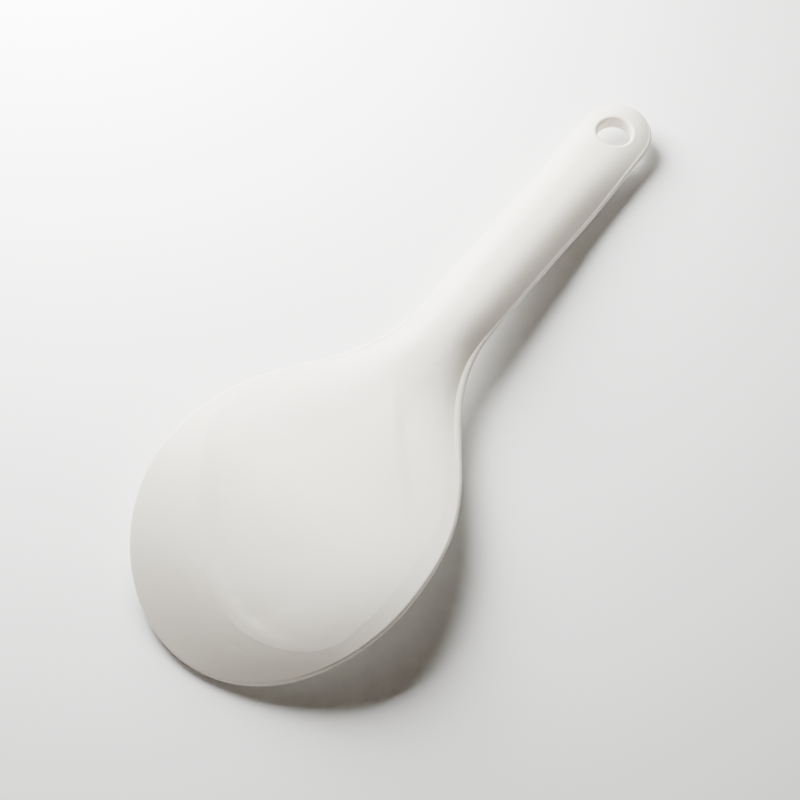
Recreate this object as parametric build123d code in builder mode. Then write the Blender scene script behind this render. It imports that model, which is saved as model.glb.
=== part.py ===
from build123d import *
import os
from math import acos, asin, cos, degrees, hypot, radians, sin, sqrt

os.makedirs("parts", exist_ok=True)

# A moulded rice paddle, lying face up as it does on a worktop: it stands on the low nose of its
# blade and on the back of its grip, and arches between them. X runs from the tip of the blade to
# the hang ring, Y across, +Z up. The worktop is Z = 0 and the origin is on it, midway along the
# paddle, so the blade is on the -X side.

# Outline, seen from above
# the blade with its shoulder, up to where the straight grip starts
blade_length = 116.0
blade_width = 76.6
# from the tip to the widest place
blade_tip_length = 42.0
tip_face_width = 5.0
# from the start of the straight grip to the end of the ring
handle_length = 84.0
grip_width = 20.0
end_face_width = 4.4
# how far the S curve of the shoulder runs straight on from its two ends
shoulder_pull = 39.0
neck_pull = 31.0

# Heights of the middle of the edge above the worktop, from the tip to the handle end
tip_edge_height = 1.0
nose_edge_height = 8.9
widest_edge_height = 12.8
waist_edge_height = 11.1
shoulder_edge_height = 8.8
neck_edge_height = 9.6
grip_start_edge_height = 10.0
grip_middle_edge_height = 7.5
heel_edge_height = 5.3
ring_edge_height = 5.4
handle_end_edge_height = 5.6

# The heel that the grip stands on, from the end of the ring
heel_inset = 35.0

# How far the middle of the face stands above the edge
tip_crown = 6.4
nose_crown = 4.0
widest_crown = 2.3
waist_crown = 2.3
shoulder_crown = 3.5
neck_crown = 5.0
grip_crown = 5.5
ring_crown = 3.1

# Plastic through the middle, from the face to the back
blade_wall = 2.9
shoulder_thickness = 5.0
neck_thickness = 7.6
grip_thickness = 11.0
ring_thickness = 6.0

# Height of the edge, and how far its round swells out
blade_edge = 1.9
blade_edge_swell = 0.9
shoulder_edge = 2.0
shoulder_edge_swell = 2.2
neck_edge = 2.0
neck_edge_swell = 1.6
grip_edge = 1.8
grip_edge_swell = 0.65
ring_edge_swell = 0.9

# How square a section is: near 2 it is a plain arch, at 6 a plate that turns down near its edge
tip_fullness = 2.7
nose_fullness = 3.7
plate_fullness = 4.7
waist_fullness = 3.1
arch_fullness = 2.5
grip_fullness = 2.6

# Places of the waist, shoulder and neck, as shares of the way from the widest point to the grip
waist_share = 0.33
shoulder_share = 0.62
neck_share = 0.84
# places of the nose in the tip, and of the middle of the grip between its start and the heel
nose_share = 0.5
grip_middle_share = 0.6

# The shallow floor sunk in the blade. It starts at a step that curves round the nose, nearest to
# the tip on one side of the middle, and it runs out toward the neck and toward the rim.
step_place = 16.2
step_side = -9.5
step_bend = 19.3
step_width = 4.2
floor_depth = 0.6
# it leans: this far toward +Y from the place nearest to the tip, it is twice as deep
floor_lean = 30.0
floor_length = 60.0
floor_side_run = 18.0
# how much of the step's fall is already there at its lip, so that the lip has a clean line
lip_share = 0.2

# The groove that sets off the shoulder on the same side, from the neck down to the rim
groove_neck_inset = 23.5
groove_neck_side = -0.6
groove_blade_place = 56.2
groove_blade_side = -32.3
groove_bow = 2.8
groove_depth = 0.4
groove_inner_width = 3.2
groove_outer_width = 10.0
groove_end_run = 16.0

# The cut that makes both reaches beyond them on every side, at most this far above the face
cut_margin = 4.0
cut_lift = 0.5
# how far toward the edge the floor and the groove may reach, and their cut
relief_share = 0.9
cut_share = 0.94

# The hang hole
hang_hole_inset = 10.5
hang_hole_radius = 4.7
hang_hole_rounding = 0.8

# The cover in the back of the grip
cover_start_inset = 2.0
cover_end_inset = 24.0
cover_width = 15.6
cover_wall = 1.8
cover_gap = 0.15
ledge_width = 1.4
ledge_drop = 1.7
grip_wall = 2.2

# The pins that place and hold the cover, and the posts that take them
pin_count = 3
# from the cover's ends to the outer pins
pin_inset = 10.0
pin_radius = 1.5
pin_rise = 3.0
pin_gap = 0.1
pin_end_gap = 0.3
pin_root = 0.6
pin_lead = 0.4
post_wall = 1.3

# How many sections shape each stretch, and how many points cross one
nose_sections = 12
straight_sections = 30
end_sections = 6
section_points = 33
edge_steps = 6
relief_rows = 60
relief_points = 61
inside_sections = 12
inside_points = 9
halvings = 40

# Room that a cut needs beyond the solid
overrun = 2.0

# Sizes worked out from those above
blade_half = blade_width / 2
grip_half = grip_width / 2
paddle_length = blade_length + handle_length
middle = paddle_length / 2
end_centre = paddle_length - grip_half
hang_hole_centre = paddle_length - hang_hole_inset
shoulder_run = blade_length - blade_tip_length
heel_place = paddle_length - heel_inset
grip_middle_place = blade_length + (heel_place - blade_length) * grip_middle_share
groove_neck_place = blade_length - groove_neck_inset
groove_run = groove_blade_place - groove_neck_place
groove_fall = groove_blade_side - groove_neck_side
groove_length = hypot(groove_run, groove_fall)
cover_start = blade_length + cover_start_inset
cover_end = paddle_length - cover_end_inset
cover_length = cover_end - cover_start
cover_centre = (cover_start + cover_end) / 2
pin_spacing = (cover_length - 2 * pin_inset) / (pin_count - 1)
post_radius = pin_radius + pin_gap + post_wall
tip_angle = degrees(asin(tip_face_width / blade_width))
end_angle = degrees(acos(end_face_width / grip_width))
tip_reach = blade_tip_length / cos(radians(tip_angle))
end_reach = grip_half / sin(radians(end_angle))

# One row for each named place: station, then the values of the section there
stations = [
    (0, tip_edge_height, tip_crown, blade_wall, blade_edge, blade_edge_swell, tip_fullness),
    (
        blade_tip_length * nose_share,
        nose_edge_height,
        nose_crown,
        blade_wall,
        blade_edge,
        blade_edge_swell,
        nose_fullness,
    ),
    (
        blade_tip_length,
        widest_edge_height,
        widest_crown,
        blade_wall,
        blade_edge,
        blade_edge_swell,
        plate_fullness,
    ),
    (
        blade_tip_length + shoulder_run * waist_share,
        waist_edge_height,
        waist_crown,
        blade_wall,
        blade_edge,
        blade_edge_swell,
        waist_fullness,
    ),
    (
        blade_tip_length + shoulder_run * shoulder_share,
        shoulder_edge_height,
        shoulder_crown,
        shoulder_thickness,
        shoulder_edge,
        shoulder_edge_swell,
        arch_fullness,
    ),
    (
        blade_tip_length + shoulder_run * neck_share,
        neck_edge_height,
        neck_crown,
        neck_thickness,
        neck_edge,
        neck_edge_swell,
        arch_fullness,
    ),
    (
        blade_length,
        grip_start_edge_height,
        grip_crown,
        grip_thickness,
        grip_edge,
        grip_edge_swell,
        grip_fullness,
    ),
    (
        grip_middle_place,
        grip_middle_edge_height,
        grip_crown,
        grip_thickness,
        grip_edge,
        grip_edge_swell,
        grip_fullness,
    ),
    (
        heel_place,
        heel_edge_height,
        grip_crown,
        grip_thickness,
        grip_edge,
        grip_edge_swell,
        grip_fullness,
    ),
    (
        hang_hole_centre,
        ring_edge_height,
        ring_crown,
        ring_thickness,
        grip_edge,
        ring_edge_swell,
        grip_fullness,
    ),
    (
        paddle_length,
        handle_end_edge_height,
        ring_crown,
        ring_thickness,
        grip_edge,
        ring_edge_swell,
        grip_fullness,
    ),
]
STATION, HEIGHT, CROWN, THICKNESS, EDGE, SWELL, FULLNESS = range(7)


def slope(index, column):
    """Slope of one column of the stations at one station, from its two neighbours."""
    before = stations[max(index - 1, 0)]
    after = stations[min(index + 1, len(stations) - 1)]
    return (after[column] - before[column]) / (after[STATION] - before[STATION])


def follow(x, column):
    """A smooth curve through one column of the stations."""
    index = 0
    while index < len(stations) - 2 and x > stations[index + 1][STATION]:
        index += 1
    left = stations[index]
    right = stations[index + 1]
    run = right[STATION] - left[STATION]
    rise = right[column] - left[column]
    t = (x - left[STATION]) / run
    start = slope(index, column) * run - rise
    end = rise - slope(index + 1, column) * run
    return left[column] + t * rise + t * (1 - t) * ((1 - t) * start + t * end)


def shoulder_half_width(x):
    """Half width on the S curve, a Bezier curve whose place along x is found by halving."""
    along = (blade_tip_length, blade_tip_length + shoulder_pull, blade_length - neck_pull, blade_length)
    across = (blade_half, blade_half, grip_half, grip_half)
    low = 0
    high = 1
    for _ in range(halvings):
        t = (low + high) / 2
        weights = ((1 - t) ** 3, 3 * t * (1 - t) ** 2, 3 * t**2 * (1 - t), t**3)
        if sum(weight * place for weight, place in zip(weights, along)) < x:
            low = t
        else:
            high = t
    return sum(weight * half for weight, half in zip(weights, across))


def half_width(x):
    """Half width of the outline: round nose, S curved shoulder, straight grip, round end."""
    if x < blade_tip_length:
        return blade_half * sqrt(1 - ((blade_tip_length - x) / tip_reach) ** 2)
    if x < blade_length:
        return shoulder_half_width(x)
    if x <= end_centre:
        return grip_half
    return grip_half * sqrt(1 - ((x - end_centre) / end_reach) ** 2)


def reach(x, share):
    """0 at the middle of the paddle and 1 on its outline. The share is of the half width."""
    if x < blade_tip_length:
        return hypot(share * half_width(x) / blade_half, (blade_tip_length - x) / tip_reach)
    if x > end_centre:
        return hypot(share * half_width(x) / grip_half, (x - end_centre) / end_reach)
    return abs(share)


def fallen(wall):
    """How far a wall has fallen: 0 at its lip and 1 at its foot, where it is steepest."""
    wall = min(wall, 1)
    return wall * (lip_share + (1 - lip_share) * max(wall, 0))


def floor_sink(x, y, side_limit):
    """How far the floor lies below the face. It is below zero where there is no floor."""
    step_slope = (y - step_side) / step_bend
    foot = step_place + (y - step_side) ** 2 / (2 * step_bend)
    past_foot = (x - foot) / hypot(1, step_slope)
    share = min(fallen(past_foot / step_width + 1), (side_limit - abs(y)) / floor_side_run)
    lean = 1 + (y - step_side) / floor_lean
    depth = floor_depth * lean * (1 - (x - step_place) / floor_length)
    return min(depth, depth * share, floor_depth * share)


def groove_sink(x, y, side_limit):
    """How far the groove lies below the face. It is below zero beside the groove."""
    from_neck_x = x - groove_neck_place
    from_neck_y = y - groove_neck_side
    along = (from_neck_x * groove_run + from_neck_y * groove_fall) / groove_length
    across = (from_neck_x * groove_fall - from_neck_y * groove_run) / groove_length
    share = along / groove_length
    inward = across - 4 * groove_bow * share * (1 - share)
    width = groove_inner_width if inward > 0 else groove_outer_width
    to_ends = min(along, groove_length - along, side_limit - abs(y)) / groove_end_run
    return groove_depth * min(fallen(1 - abs(inward) / width), to_ends)


def face_height(x, share):
    """Height of the face above the worktop."""
    edge_top = follow(x, EDGE) / 2
    bulge = 1 - reach(x, share) ** follow(x, FULLNESS)
    return follow(x, HEIGHT) + edge_top + (follow(x, CROWN) - edge_top) * bulge


def back_height(x, share):
    """Height of the back above the worktop."""
    edge_bottom = -follow(x, EDGE) / 2
    bulge = 1 - reach(x, share) ** follow(x, FULLNESS)
    drop = follow(x, CROWN) - follow(x, THICKNESS) - edge_bottom
    return follow(x, HEIGHT) + edge_bottom + drop * bulge


def edge_round(x, side):
    """Points of the half ellipse that rounds one edge, from its top to its bottom."""
    flat_half = half_width(x) - follow(x, SWELL)
    points = []
    for turn in edge_turns:
        out = flat_half + follow(x, SWELL) * sin(radians(turn))
        up = follow(x, EDGE) / 2 * cos(radians(turn))
        points.append((side * out, follow(x, HEIGHT) + up))
    return points


def section_places():
    """Stations of the sections: even between the two ends, closer together where those turn."""
    places = []
    for step in range(nose_sections):
        angle = tip_angle + (90 - tip_angle) * step / nose_sections
        places.append(blade_tip_length - tip_reach * cos(radians(angle)))
    for step in range(straight_sections):
        places.append(blade_tip_length + (end_centre - blade_tip_length) * step / straight_sections)
    for step in range(end_sections):
        angle = end_angle * step / (end_sections - 1)
        places.append(end_centre + end_reach * sin(radians(angle)))
    return places


def across_plane(x):
    """The plane of the section at a station, with Y to the right and Z up."""
    return Plane(origin=(x - middle, 0, 0), x_dir=(0, 1, 0), z_dir=(1, 0, 0))


# points lie closer together near the edges, where a section turns down
shares = [-cos(radians(180 * step / (section_points - 1))) for step in range(section_points)]
knots = [(share + 1) / 2 for share in shares]
edge_turns = [180 * step / edge_steps for step in range(edge_steps + 1)]

with BuildPart() as whole_paddle:
    for x in section_places():
        flat_half = half_width(x) - follow(x, SWELL)
        face_points = [(share * flat_half, face_height(x, share)) for share in shares]
        back_points = [(-share * flat_half, back_height(x, share)) for share in shares]
        with BuildSketch(across_plane(x)):
            with BuildLine():
                add(Edge.make_spline(face_points, parameters=knots))
                add(Edge.make_spline(edge_round(x, 1), parameters=edge_turns))
                add(Edge.make_spline(back_points, parameters=knots))
                add(Edge.make_spline(edge_round(x, -1)[::-1], parameters=edge_turns))
            make_face()
    loft()
    # the worktop trims the lowest part of the nose and of the grip to small flats
    split(bisect_by=Plane.XY, keep=Keep.TOP)

# What the floor and the groove take out of the face
relief_start = step_place - step_width - cut_margin
relief_run = groove_neck_place + groove_outer_width + cut_margin - relief_start
relief_top = widest_edge_height + neck_crown + overrun
relief_knots = [column / (relief_points - 1) for column in range(relief_points)]

with BuildPart() as face_relief:
    for row in range(relief_rows + 1):
        x = relief_start + relief_run * row / relief_rows
        flat_half = half_width(x) - follow(x, SWELL)
        side_limit = relief_share * flat_half
        relief_line = []
        for across in relief_knots:
            share = cut_share * (2 * across - 1)
            y = share * flat_half
            sink = max(floor_sink(x, y, side_limit), groove_sink(x, y, side_limit), -cut_lift)
            relief_line.append((y, face_height(x, share) - sink))
        with BuildSketch(across_plane(x)):
            with BuildLine():
                add(Edge.make_spline(relief_line, parameters=relief_knots))
                Polyline(
                    relief_line[-1],
                    (relief_line[-1][0], relief_top),
                    (relief_line[0][0], relief_top),
                    relief_line[0],
                )
            make_face()
    loft()

# The plane where the cover meets the ledge in the grip, and the places of its pins
ledge_start_height = follow(cover_start, HEIGHT) - ledge_drop
ledge_end_height = follow(cover_end, HEIGHT) - ledge_drop
ledge_rise = (ledge_end_height - ledge_start_height) / cover_length
ledge_plane = Plane(
    origin=(cover_start - middle, 0, ledge_start_height),
    x_dir=(1, 0, ledge_rise),
    z_dir=(-ledge_rise, 0, 1),
)
pin_places = [cover_centre + pin_spacing * (n - (pin_count - 1) / 2) for n in range(pin_count)]


def ledge_height(x):
    """Height of the ledge above the worktop."""
    return ledge_start_height + ledge_rise * (x - cover_start)


# The hollow of the grip: a wall under the face, a wall over the back, a post round each pin
with BuildPart() as grip_hollow:
    for step in range(inside_sections + 1):
        x = cover_start + cover_length * step / inside_sections
        flat_half = half_width(x) - follow(x, SWELL)
        under_face = []
        over_back = []
        for column in range(inside_points):
            y = cover_width * (column / (inside_points - 1) - 1 / 2)
            under_face.append((y, face_height(x, y / flat_half) - grip_wall))
            over_back.append((-y, back_height(x, -y / flat_half) + cover_wall))
        with BuildSketch(across_plane(x)):
            with BuildLine():
                add(Edge.make_spline(under_face))
                Line(under_face[-1], over_back[0])
                add(Edge.make_spline(over_back))
                Line(over_back[-1], under_face[0])
            make_face()
    loft()
    with BuildSketch(Plane.XY.offset(-overrun)):
        with Locations((cover_centre - middle, 0)):
            SlotOverall(cover_length - 2 * ledge_width, cover_width - 2 * ledge_width)
    extrude(amount=paddle_length, mode=Mode.INTERSECT)
    with BuildSketch(Plane.XY.offset(-overrun)):
        with Locations([(place - middle, 0) for place in pin_places]):
            Circle(post_radius)
    extrude(amount=paddle_length, mode=Mode.SUBTRACT)

# The seat that the cover drops in, up to the ledge
with BuildPart() as cover_seat:
    with BuildSketch(Plane.XY.offset(-overrun)):
        with Locations((cover_centre - middle, 0)):
            SlotOverall(cover_length + 2 * cover_gap, cover_width + 2 * cover_gap)
    extrude(amount=paddle_length)
    split(bisect_by=ledge_plane, keep=Keep.BOTTOM)

with BuildPart() as paddle_body:
    add(whole_paddle.part)
    add(face_relief.part, mode=Mode.SUBTRACT)
    add(cover_seat.part, mode=Mode.SUBTRACT)
    add(grip_hollow.part, mode=Mode.SUBTRACT)
    for place in pin_places:
        with BuildSketch(Plane.XY.offset(-overrun)):
            with Locations((place - middle, 0)):
                Circle(pin_radius + pin_gap)
        extrude(amount=overrun + ledge_height(place) + pin_rise + pin_end_gap, mode=Mode.SUBTRACT)
    with BuildSketch(Plane.XY.offset(-overrun)):
        with Locations((hang_hole_centre - middle, 0)):
            Circle(hang_hole_radius)
    extrude(amount=paddle_length, mode=Mode.SUBTRACT)
    # the two mouths of the hang hole are rounded
    hole_wall = paddle_body.faces().filter_by(GeomType.CYLINDER).sort_by(Axis.X)[-1]
    fillet(hole_wall.edges().filter_by(GeomType.LINE, reverse=True), hang_hole_rounding)

# One pin of the cover, its top chamfered to lead it in, with its root in the cover
with BuildPart() as cover_pin:
    with BuildSketch(Plane.XY.offset(-pin_root)):
        Circle(pin_radius)
    extrude(amount=pin_root + pin_rise)
    chamfer(cover_pin.edges().sort_by(Axis.Z)[-1], pin_lead)

with BuildPart() as handle_back_cover:
    with BuildSketch(Plane.XY.offset(-overrun)):
        with Locations((cover_centre - middle, 0)):
            SlotOverall(cover_length, cover_width)
    extrude(amount=paddle_length)
    split(bisect_by=ledge_plane, keep=Keep.BOTTOM)
    add(whole_paddle.part, mode=Mode.INTERSECT)
    add(grip_hollow.part, mode=Mode.SUBTRACT)
    with Locations([(place - middle, 0, ledge_height(place)) for place in pin_places]):
        add(cover_pin.part)

paddle_body.part.label = "paddle_body"
export_step(paddle_body.part, "parts/paddle_body.step")
handle_back_cover.part.label = "handle_back_cover"
export_step(handle_back_cover.part, "parts/handle_back_cover.step")
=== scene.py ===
# %% [markdown]
# # A moulded rice paddle
#
# A rice paddle is one long plastic moulding: a broad arched blade, a neck, a rounded grip and a ring
# to hang it by. A second small moulding closes the hollow back of the grip. Both solids come ready
# made, in metres, lying face up with the blade toward -X. This lesson gives them their plastic, and
# sets the table, the lamp, the sky and the camera.

from math import cos, radians, sin

import bpy
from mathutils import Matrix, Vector


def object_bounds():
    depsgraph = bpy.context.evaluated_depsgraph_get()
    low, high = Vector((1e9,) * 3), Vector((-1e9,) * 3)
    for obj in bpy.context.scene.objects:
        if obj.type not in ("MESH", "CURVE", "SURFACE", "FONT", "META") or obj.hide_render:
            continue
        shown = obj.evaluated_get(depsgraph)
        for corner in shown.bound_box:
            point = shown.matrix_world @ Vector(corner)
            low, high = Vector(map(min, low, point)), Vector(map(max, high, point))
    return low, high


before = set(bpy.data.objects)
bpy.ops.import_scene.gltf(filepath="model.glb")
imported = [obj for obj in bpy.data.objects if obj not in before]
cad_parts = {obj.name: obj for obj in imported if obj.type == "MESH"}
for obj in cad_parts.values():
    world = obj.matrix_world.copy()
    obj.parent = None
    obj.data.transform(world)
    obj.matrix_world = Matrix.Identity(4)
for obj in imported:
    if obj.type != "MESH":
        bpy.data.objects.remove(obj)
moulded_box = [list(corner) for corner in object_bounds()]
print("mouldings:", sorted(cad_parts))
print("box in metres:", moulded_box)

# %% [markdown]
# ## The camera
#
# The paddle is seen from above and in front, turned so that its handle runs up to the right. A long
# lens from 660 mm away keeps the sides of the grip nearly parallel. The camera could be turned by
# three angles, but it is easier to say where it stands and what it looks at, and to let Blender
# work out the turn.

# %% Where the camera stands
up = Vector((0, 0, 1))
handle_turn = radians(54.0)
look_down = radians(60.0)
distance = 0.660
focal_pixels = 2563.2
picture_pixels = 800
sensor_width_mm = 36.0
nearest_seen, farthest_seen = 0.01, 20

# the table's directions as the camera sees them, in the paddle's own axes
to_the_right = Vector((cos(handle_turn), -sin(handle_turn), 0))
away = Vector((sin(handle_turn), cos(handle_turn), 0))
forward = away * cos(look_down) - up * sin(look_down)
picture_up = away * sin(look_down) + up * cos(look_down)

# this place on the blade shows a little left of the picture's middle, and above it
seen_place = Vector((-0.0115, 0.0035, 0.0035))
seen_left, seen_above = 12.5, 4.0
metres_per_pixel = distance / focal_pixels
eye = seen_place - forward * distance
aim = seen_place + (to_the_right * seen_left - picture_up * seen_above) * metres_per_pixel

lens = bpy.data.cameras.new("table_camera")
lens.sensor_width = sensor_width_mm
lens.lens = focal_pixels / picture_pixels * lens.sensor_width
lens.clip_start, lens.clip_end = nearest_seen, farthest_seen
camera = bpy.data.objects.new("table_camera", lens)
camera.location = eye
camera.rotation_mode = "QUATERNION"
camera.rotation_quaternion = (aim - eye).to_track_quat("-Z", "Y")
bpy.context.scene.collection.objects.link(camera)
bpy.context.scene.camera = camera
print("lens in mm:", round(lens.lens, 1), "camera at", [round(v, 3) for v in eye])

# %% [markdown]
# ## Arithmetic on shader sockets
#
# A material is a web of nodes. Placing each Math node by hand hides the formula, so one small class
# wraps a socket and lets Python's own signs add the nodes. Numbers, colours and vectors need
# different nodes: the signs are for numbers, and one method makes every other node.


# %% A socket that Python can count with
class Wire:
    """One output of a shader node. The signs + - * add Math nodes to the same web."""

    def __init__(self, tree, socket=None):
        self.tree = tree
        self.socket = socket

    def node(self, kind, settings=None, inputs=None, output=0):
        """Add a node: its settings first, then the values or wires of its sockets."""
        made = self.tree.nodes.new(kind)
        for name, value in (settings or {}).items():
            setattr(made, name, value)
        for name, value in (inputs or {}).items():
            if isinstance(value, Wire):
                self.tree.links.new(value.socket, made.inputs[name])
            else:
                made.inputs[name].default_value = value
        return Wire(self.tree, made.outputs[output])

    def math(self, operation, *values):
        return self.node("ShaderNodeMath", {"operation": operation}, dict(enumerate(values)))

    def __add__(self, other):
        return self.math("ADD", self, other)

    def __sub__(self, other):
        return self.math("SUBTRACT", self, other)

    def __mul__(self, other):
        return self.math("MULTIPLY", self, other)

    def __rsub__(self, other):
        return self.math("SUBTRACT", other, self)

    __radd__ = __add__
    __rmul__ = __mul__

    def size(self):
        """The number without its sign."""
        return self.math("ABSOLUTE", self)

    def fade(self, low, high):
        """0 at low, 1 at high, and a soft step between. low may be the higher of the two."""
        if low < high:
            edges = {"From Min": low, "From Max": high}
        else:
            edges = {"From Min": high, "From Max": low}
        step = self.node(
            "ShaderNodeMapRange", {"interpolation_type": "SMOOTHSTEP"}, {"Value": self, **edges}
        )
        return step if low < high else 1 - step

    def tint(self, under, over):
        """A colour that goes from under to over as this number goes from 0 to 1."""
        return self.node(
            "ShaderNodeMix", {"data_type": "RGBA"}, {0: self, 6: under, 7: over}, output=2
        )


print("a Wire counts with + - * and makes any other node")

# %% [markdown]
# ## The plastic
#
# Paddles are moulded from off-white polypropylene. It looks like milk glass with a satin skin: light
# goes a little way in, the polished mould leaves a low sheen, and years of rice and washing leave
# faint rubs. A flat colour would look like paper. So the colour drifts a little, the skin has the
# slow waves of a cooled moulding, and fine rubs run along the blade. The rims and the mouths of the
# hang hole are handled most, and there the plastic is polished in patches. The colour is also
# painted warmer where the surface tilts away and on the rim walls, as painted shade.


# %% Where a point is on the paddle, and which way it faces
millimetres_in_metre = 1000.0


def place_of(start):
    """The position in millimetres, as a vector."""
    place = start.node("ShaderNodeTexCoord", output="Object")
    return start.node(
        "ShaderNodeVectorMath", {"operation": "SCALE"}, {0: place, "Scale": millimetres_in_metre}
    )


def upward(start):
    """How far the surface faces up, before any bump: 1 on a level face and 0 on a wall."""
    normal = start.node("ShaderNodeNewGeometry", output="Normal")
    return start.node("ShaderNodeSeparateXYZ", inputs={0: normal}, output="Z").size()


def speckle(start, place, size, detail=2.0, stretch=(1, 1, 1), rough=0.5):
    """Noise with features of about this size in millimetres, drawn out along an axis."""
    drawn = start.node("ShaderNodeVectorMath", {"operation": "MULTIPLY"}, {0: place, 1: stretch})
    return start.node(
        "ShaderNodeTexNoise",
        inputs={"Vector": drawn, "Scale": 1 / size, "Detail": detail, "Roughness": rough},
    )


print("a place is in millimetres, and a speckle has a size in millimetres")

# %% [markdown]
# The finish is worked out in layers. Colour comes first: a slow drift, a fine mottle, and painted
# warm shade where the plastic leans away from the light or ends in a rim. Then come the marks of
# use, as patches of fine lines. Then the relief of the skin, in millimetres, for one Bump node. A
# picture wrapped round the solid could do all this too, but it would need seams, and these layers
# need none.


# %% The moulded plastic of the paddle
shallow_waves = 0.10
rub_depth = 0.006
rubs_start_mm, rubs_full_mm = 0.0, -60.0
scuff_colour = (0.90, 0.885, 0.86, 1)
plastic_ior = 1.49


def moulded_plastic(name, colour, warm, grain_depth, rub):
    """An off-white satin plastic. rub says how much the blade's end is rubbed."""
    made = bpy.data.materials.new(name)
    made.use_nodes = True
    tree = made.node_tree
    skin = tree.nodes["Principled BSDF"]
    start = Wire(tree)
    place = place_of(start)
    along = start.node("ShaderNodeSeparateXYZ", inputs={0: place}, output="X")
    level = upward(start)

    # slow drift of the colour, and painted warm shade where the plastic leans away and on the rim
    # walls
    drift = speckle(start, place, size=34.0, detail=3.0).fade(0.36, 0.66)
    mottle = speckle(start, place, size=4.5, detail=3.0, rough=0.6).fade(0.42, 0.68)
    painted_slope_shade = level.fade(1.0, 0.70)
    # walls and rims: painted warm shade in the colour, and the mask for the worn patches below
    rim_wear_and_shade = level.fade(0.75, 0.15)
    warmth_and_shade = drift * 0.28 + mottle * 0.10 + painted_slope_shade * 0.45 + rim_wear_and_shade * 0.15
    tone = warmth_and_shade.tint(colour, warm)

    # the rims and edges are worn smooth in patches, where they meet the pot and the hand
    worn = rim_wear_and_shade * speckle(start, place, size=6.0, detail=3.0, rough=0.6).fade(0.44, 0.60)

    # fine rubs along the blade, where rice is cut and turned
    lines = speckle(start, place, size=0.5, detail=4.0, stretch=(0.05, 1.0, 1.0), rough=0.62)
    patches = speckle(start, place, size=16.0).fade(0.46, 0.64)
    toward_tip = along.fade(rubs_start_mm, rubs_full_mm)
    rubbed = lines.fade(0.60, 0.70) * patches * toward_tip * rub
    scuffed = (rubbed * 0.5 + worn * 0.25).tint(tone, scuff_colour)

    # the skin: slow waves where the plastic shrank, and the fine grain of the mould
    waves = speckle(start, place, size=22.0, detail=1.0)
    grain = speckle(start, place, size=0.35)
    relief = waves * shallow_waves + grain * grain_depth - rubbed * rub_depth

    gloss = speckle(start, place, size=9.0, detail=3.0).fade(0.3, 0.7)
    roughness = 0.40 + gloss * 0.06 + rubbed * 0.18 - worn * 0.07
    bump = start.node(
        "ShaderNodeBump",
        inputs={"Strength": 1.0, "Distance": 1 / millimetres_in_metre, "Height": relief},
    )
    tree.links.new(scuffed.socket, skin.inputs["Base Color"])
    tree.links.new(roughness.socket, skin.inputs["Roughness"])
    tree.links.new(bump.socket, skin.inputs["Normal"])
    skin.inputs["IOR"].default_value = plastic_ior
    # light goes a little way in, and red goes furthest
    skin.inputs["Subsurface Weight"].default_value = 0.12
    skin.inputs["Subsurface Radius"].default_value = (1.0, 0.9, 0.75)
    skin.inputs["Subsurface Scale"].default_value = 0.002
    return made


paddle_plastic = moulded_plastic(
    "paddle_plastic",
    colour=(0.80, 0.785, 0.715, 1),
    warm=(0.77, 0.71, 0.62, 1),
    grain_depth=0.004,
    rub=1.0,
)
cover_plastic = moulded_plastic(
    "cover_plastic",
    colour=(0.78, 0.765, 0.695, 1),
    warm=(0.75, 0.69, 0.60, 1),
    grain_depth=0.012,
    rub=0.0,
)
print("plastics:", paddle_plastic.name, cover_plastic.name)

# %% [markdown]
# ## From plastic to moulding
#
# The two solids are right as they come, so nothing is modelled again here. Each one only trades the
# grey that it came with for its plastic. The cover comes from another mould than the paddle, with a
# coarser grain, and it never touches the pot, so it has no rubs.


# %% Put each plastic on its moulding
def give(node, material):
    """The solid keeps its shape and place. Only its material changes."""
    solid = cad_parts[node]
    solid.data.materials.clear()
    solid.data.materials.append(material)
    print(node, "->", material.name, len(solid.data.polygons), "faces")


give("paddle_body", paddle_plastic)
give("handle_back_cover", cover_plastic)

# %% [markdown]
# ## The table
#
# The paddle lies on a plain pale table, painted matt, in a white that is hardly uneven. The lamp
# stands so near the paddle that the far parts of the table would go dark. A photographer would
# light them apart, as a bright sweep. Here they glow instead, so far off and so low that hardly any
# of the glow falls on the plastic.


# %% The table
table_reach = 3.0
just_under = 0.0001
glow_starts_mm, glow_full_mm = 260.0, 620.0
glow_strength = 2.4


def plain_table(level):
    """One flat square, far wider than the picture, in matt paint."""
    mesh = bpy.data.meshes.new("table")
    signs = ((-1, -1), (1, -1), (1, 1), (-1, 1))
    corners = [(x * table_reach, y * table_reach, level) for x, y in signs]
    mesh.from_pydata(corners, [], [(0, 1, 2, 3)])
    table = bpy.data.objects.new("table", mesh)
    bpy.context.scene.collection.objects.link(table)
    paint = bpy.data.materials.new("table_paint")
    paint.use_nodes = True
    tree = paint.node_tree
    skin = tree.nodes["Principled BSDF"]
    start = Wire(tree)
    place = place_of(start)
    cloud = speckle(start, place, size=260.0)
    tone = cloud.tint((0.885, 0.90, 0.925, 1), (0.91, 0.925, 0.95, 1))
    tree.links.new(tone.socket, skin.inputs["Base Color"])
    skin.inputs["Roughness"].default_value = 0.85
    skin.inputs["Specular IOR Level"].default_value = 0.2
    # past the reach of the lamp the table glows: painted light, in place of a lit studio sweep
    far = start.node("ShaderNodeVectorMath", {"operation": "LENGTH"}, {0: place}, output=1)
    painted_far_light = far.fade(glow_starts_mm, glow_full_mm).tint((0, 0, 0, 1), (0.97, 0.97, 0.97, 1))
    tree.links.new(painted_far_light.socket, skin.inputs["Emission Color"])
    skin.inputs["Emission Strength"].default_value = glow_strength
    mesh.materials.append(paint)
    return table


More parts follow.
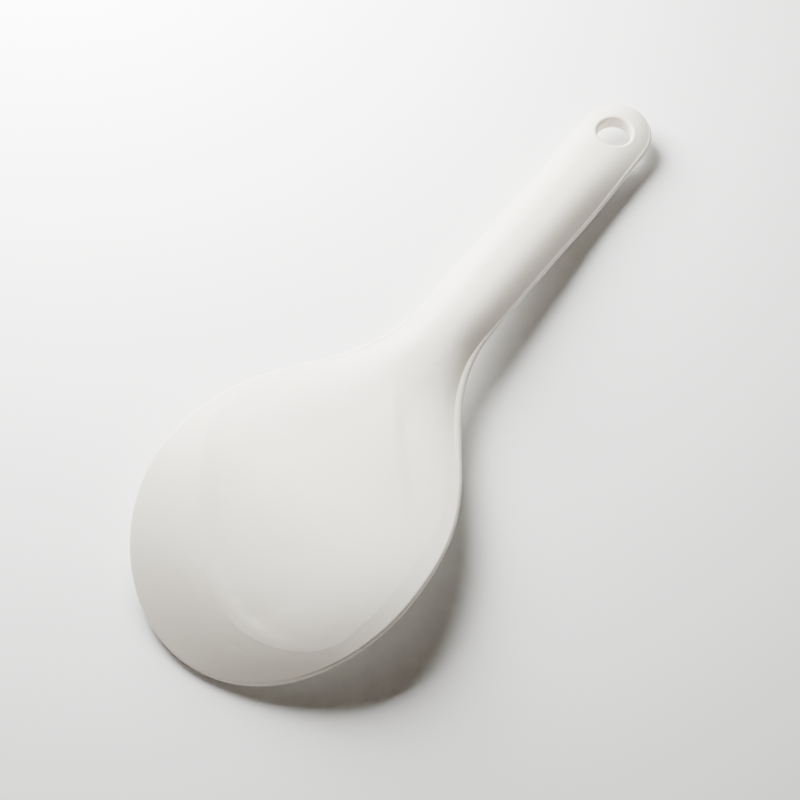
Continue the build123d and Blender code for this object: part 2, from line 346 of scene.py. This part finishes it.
table = plain_table(moulded_box[0][2] - just_under)
print("table at", round(table.data.vertices[0].co.z, 5))

# %% [markdown]
# ## The lamp
#
# One soft lamp stands close beyond the paddle and a little to the left, and shines toward the
# camera. So the face is bright, and the blade's end, which turns down toward the camera, falls off
# into a warm grey. A far lamp would light both ends alike. This one is near, so its light also
# fades along the blade. A square lamp with a real size gives shadows with soft edges.


# %% The lamp
def soft_lamp(name, beyond, to_left, height, size, watts, colour):
    """A square lamp that shines on the paddle, placed as the camera sees the table."""
    light = bpy.data.lights.new(name, "AREA")
    light.size = size
    light.energy = watts
    light.color = colour
    lamp = bpy.data.objects.new(name, light)
    lamp.location = away * beyond - to_the_right * to_left + up * height
    lamp.rotation_mode = "QUATERNION"
    lamp.rotation_quaternion = (Vector((0, 0, 0)) - lamp.location).to_track_quat("-Z", "Y")
    bpy.context.scene.collection.objects.link(lamp)
    print(name, "at", [round(v, 2) for v in lamp.location], "watts", watts)


soft_lamp(
    "window_lamp",
    beyond=0.170,
    to_left=0.098,
    height=0.141,
    size=0.20,
    watts=5.0,
    colour=(1.0, 0.985, 0.945),
)

# %% [markdown]
# ## The sky
#
# A plain warm dome fills the shadows. It has to be faint, or the shaded side of the grip would go
# flat. A faint dome looks dark when the camera is low enough to see it, so the camera is shown a
# bright one in its place, about as bright as the far table. Nothing on the paddle changes.

# %% The sky
sky = bpy.data.worlds.new("studio_sky")
sky.use_nodes = True
dome = sky.node_tree
fill = dome.nodes["Background"]
fill.inputs["Color"].default_value = (1.0, 0.84, 0.66, 1)
fill.inputs["Strength"].default_value = 0.11

faint = Wire(dome, fill.outputs["Background"])
bright = faint.node(
    "ShaderNodeBackground", inputs={"Color": (1, 1, 1, 1), "Strength": glow_strength}
)
seen = faint.node("ShaderNodeLightPath", output="Is Camera Ray")
both = faint.node("ShaderNodeMixShader", inputs={0: seen, 1: faint, 2: bright})
dome.links.new(both.socket, dome.nodes["World Output"].inputs["Surface"])
bpy.context.scene.world = sky
print("sky:", sky.name)
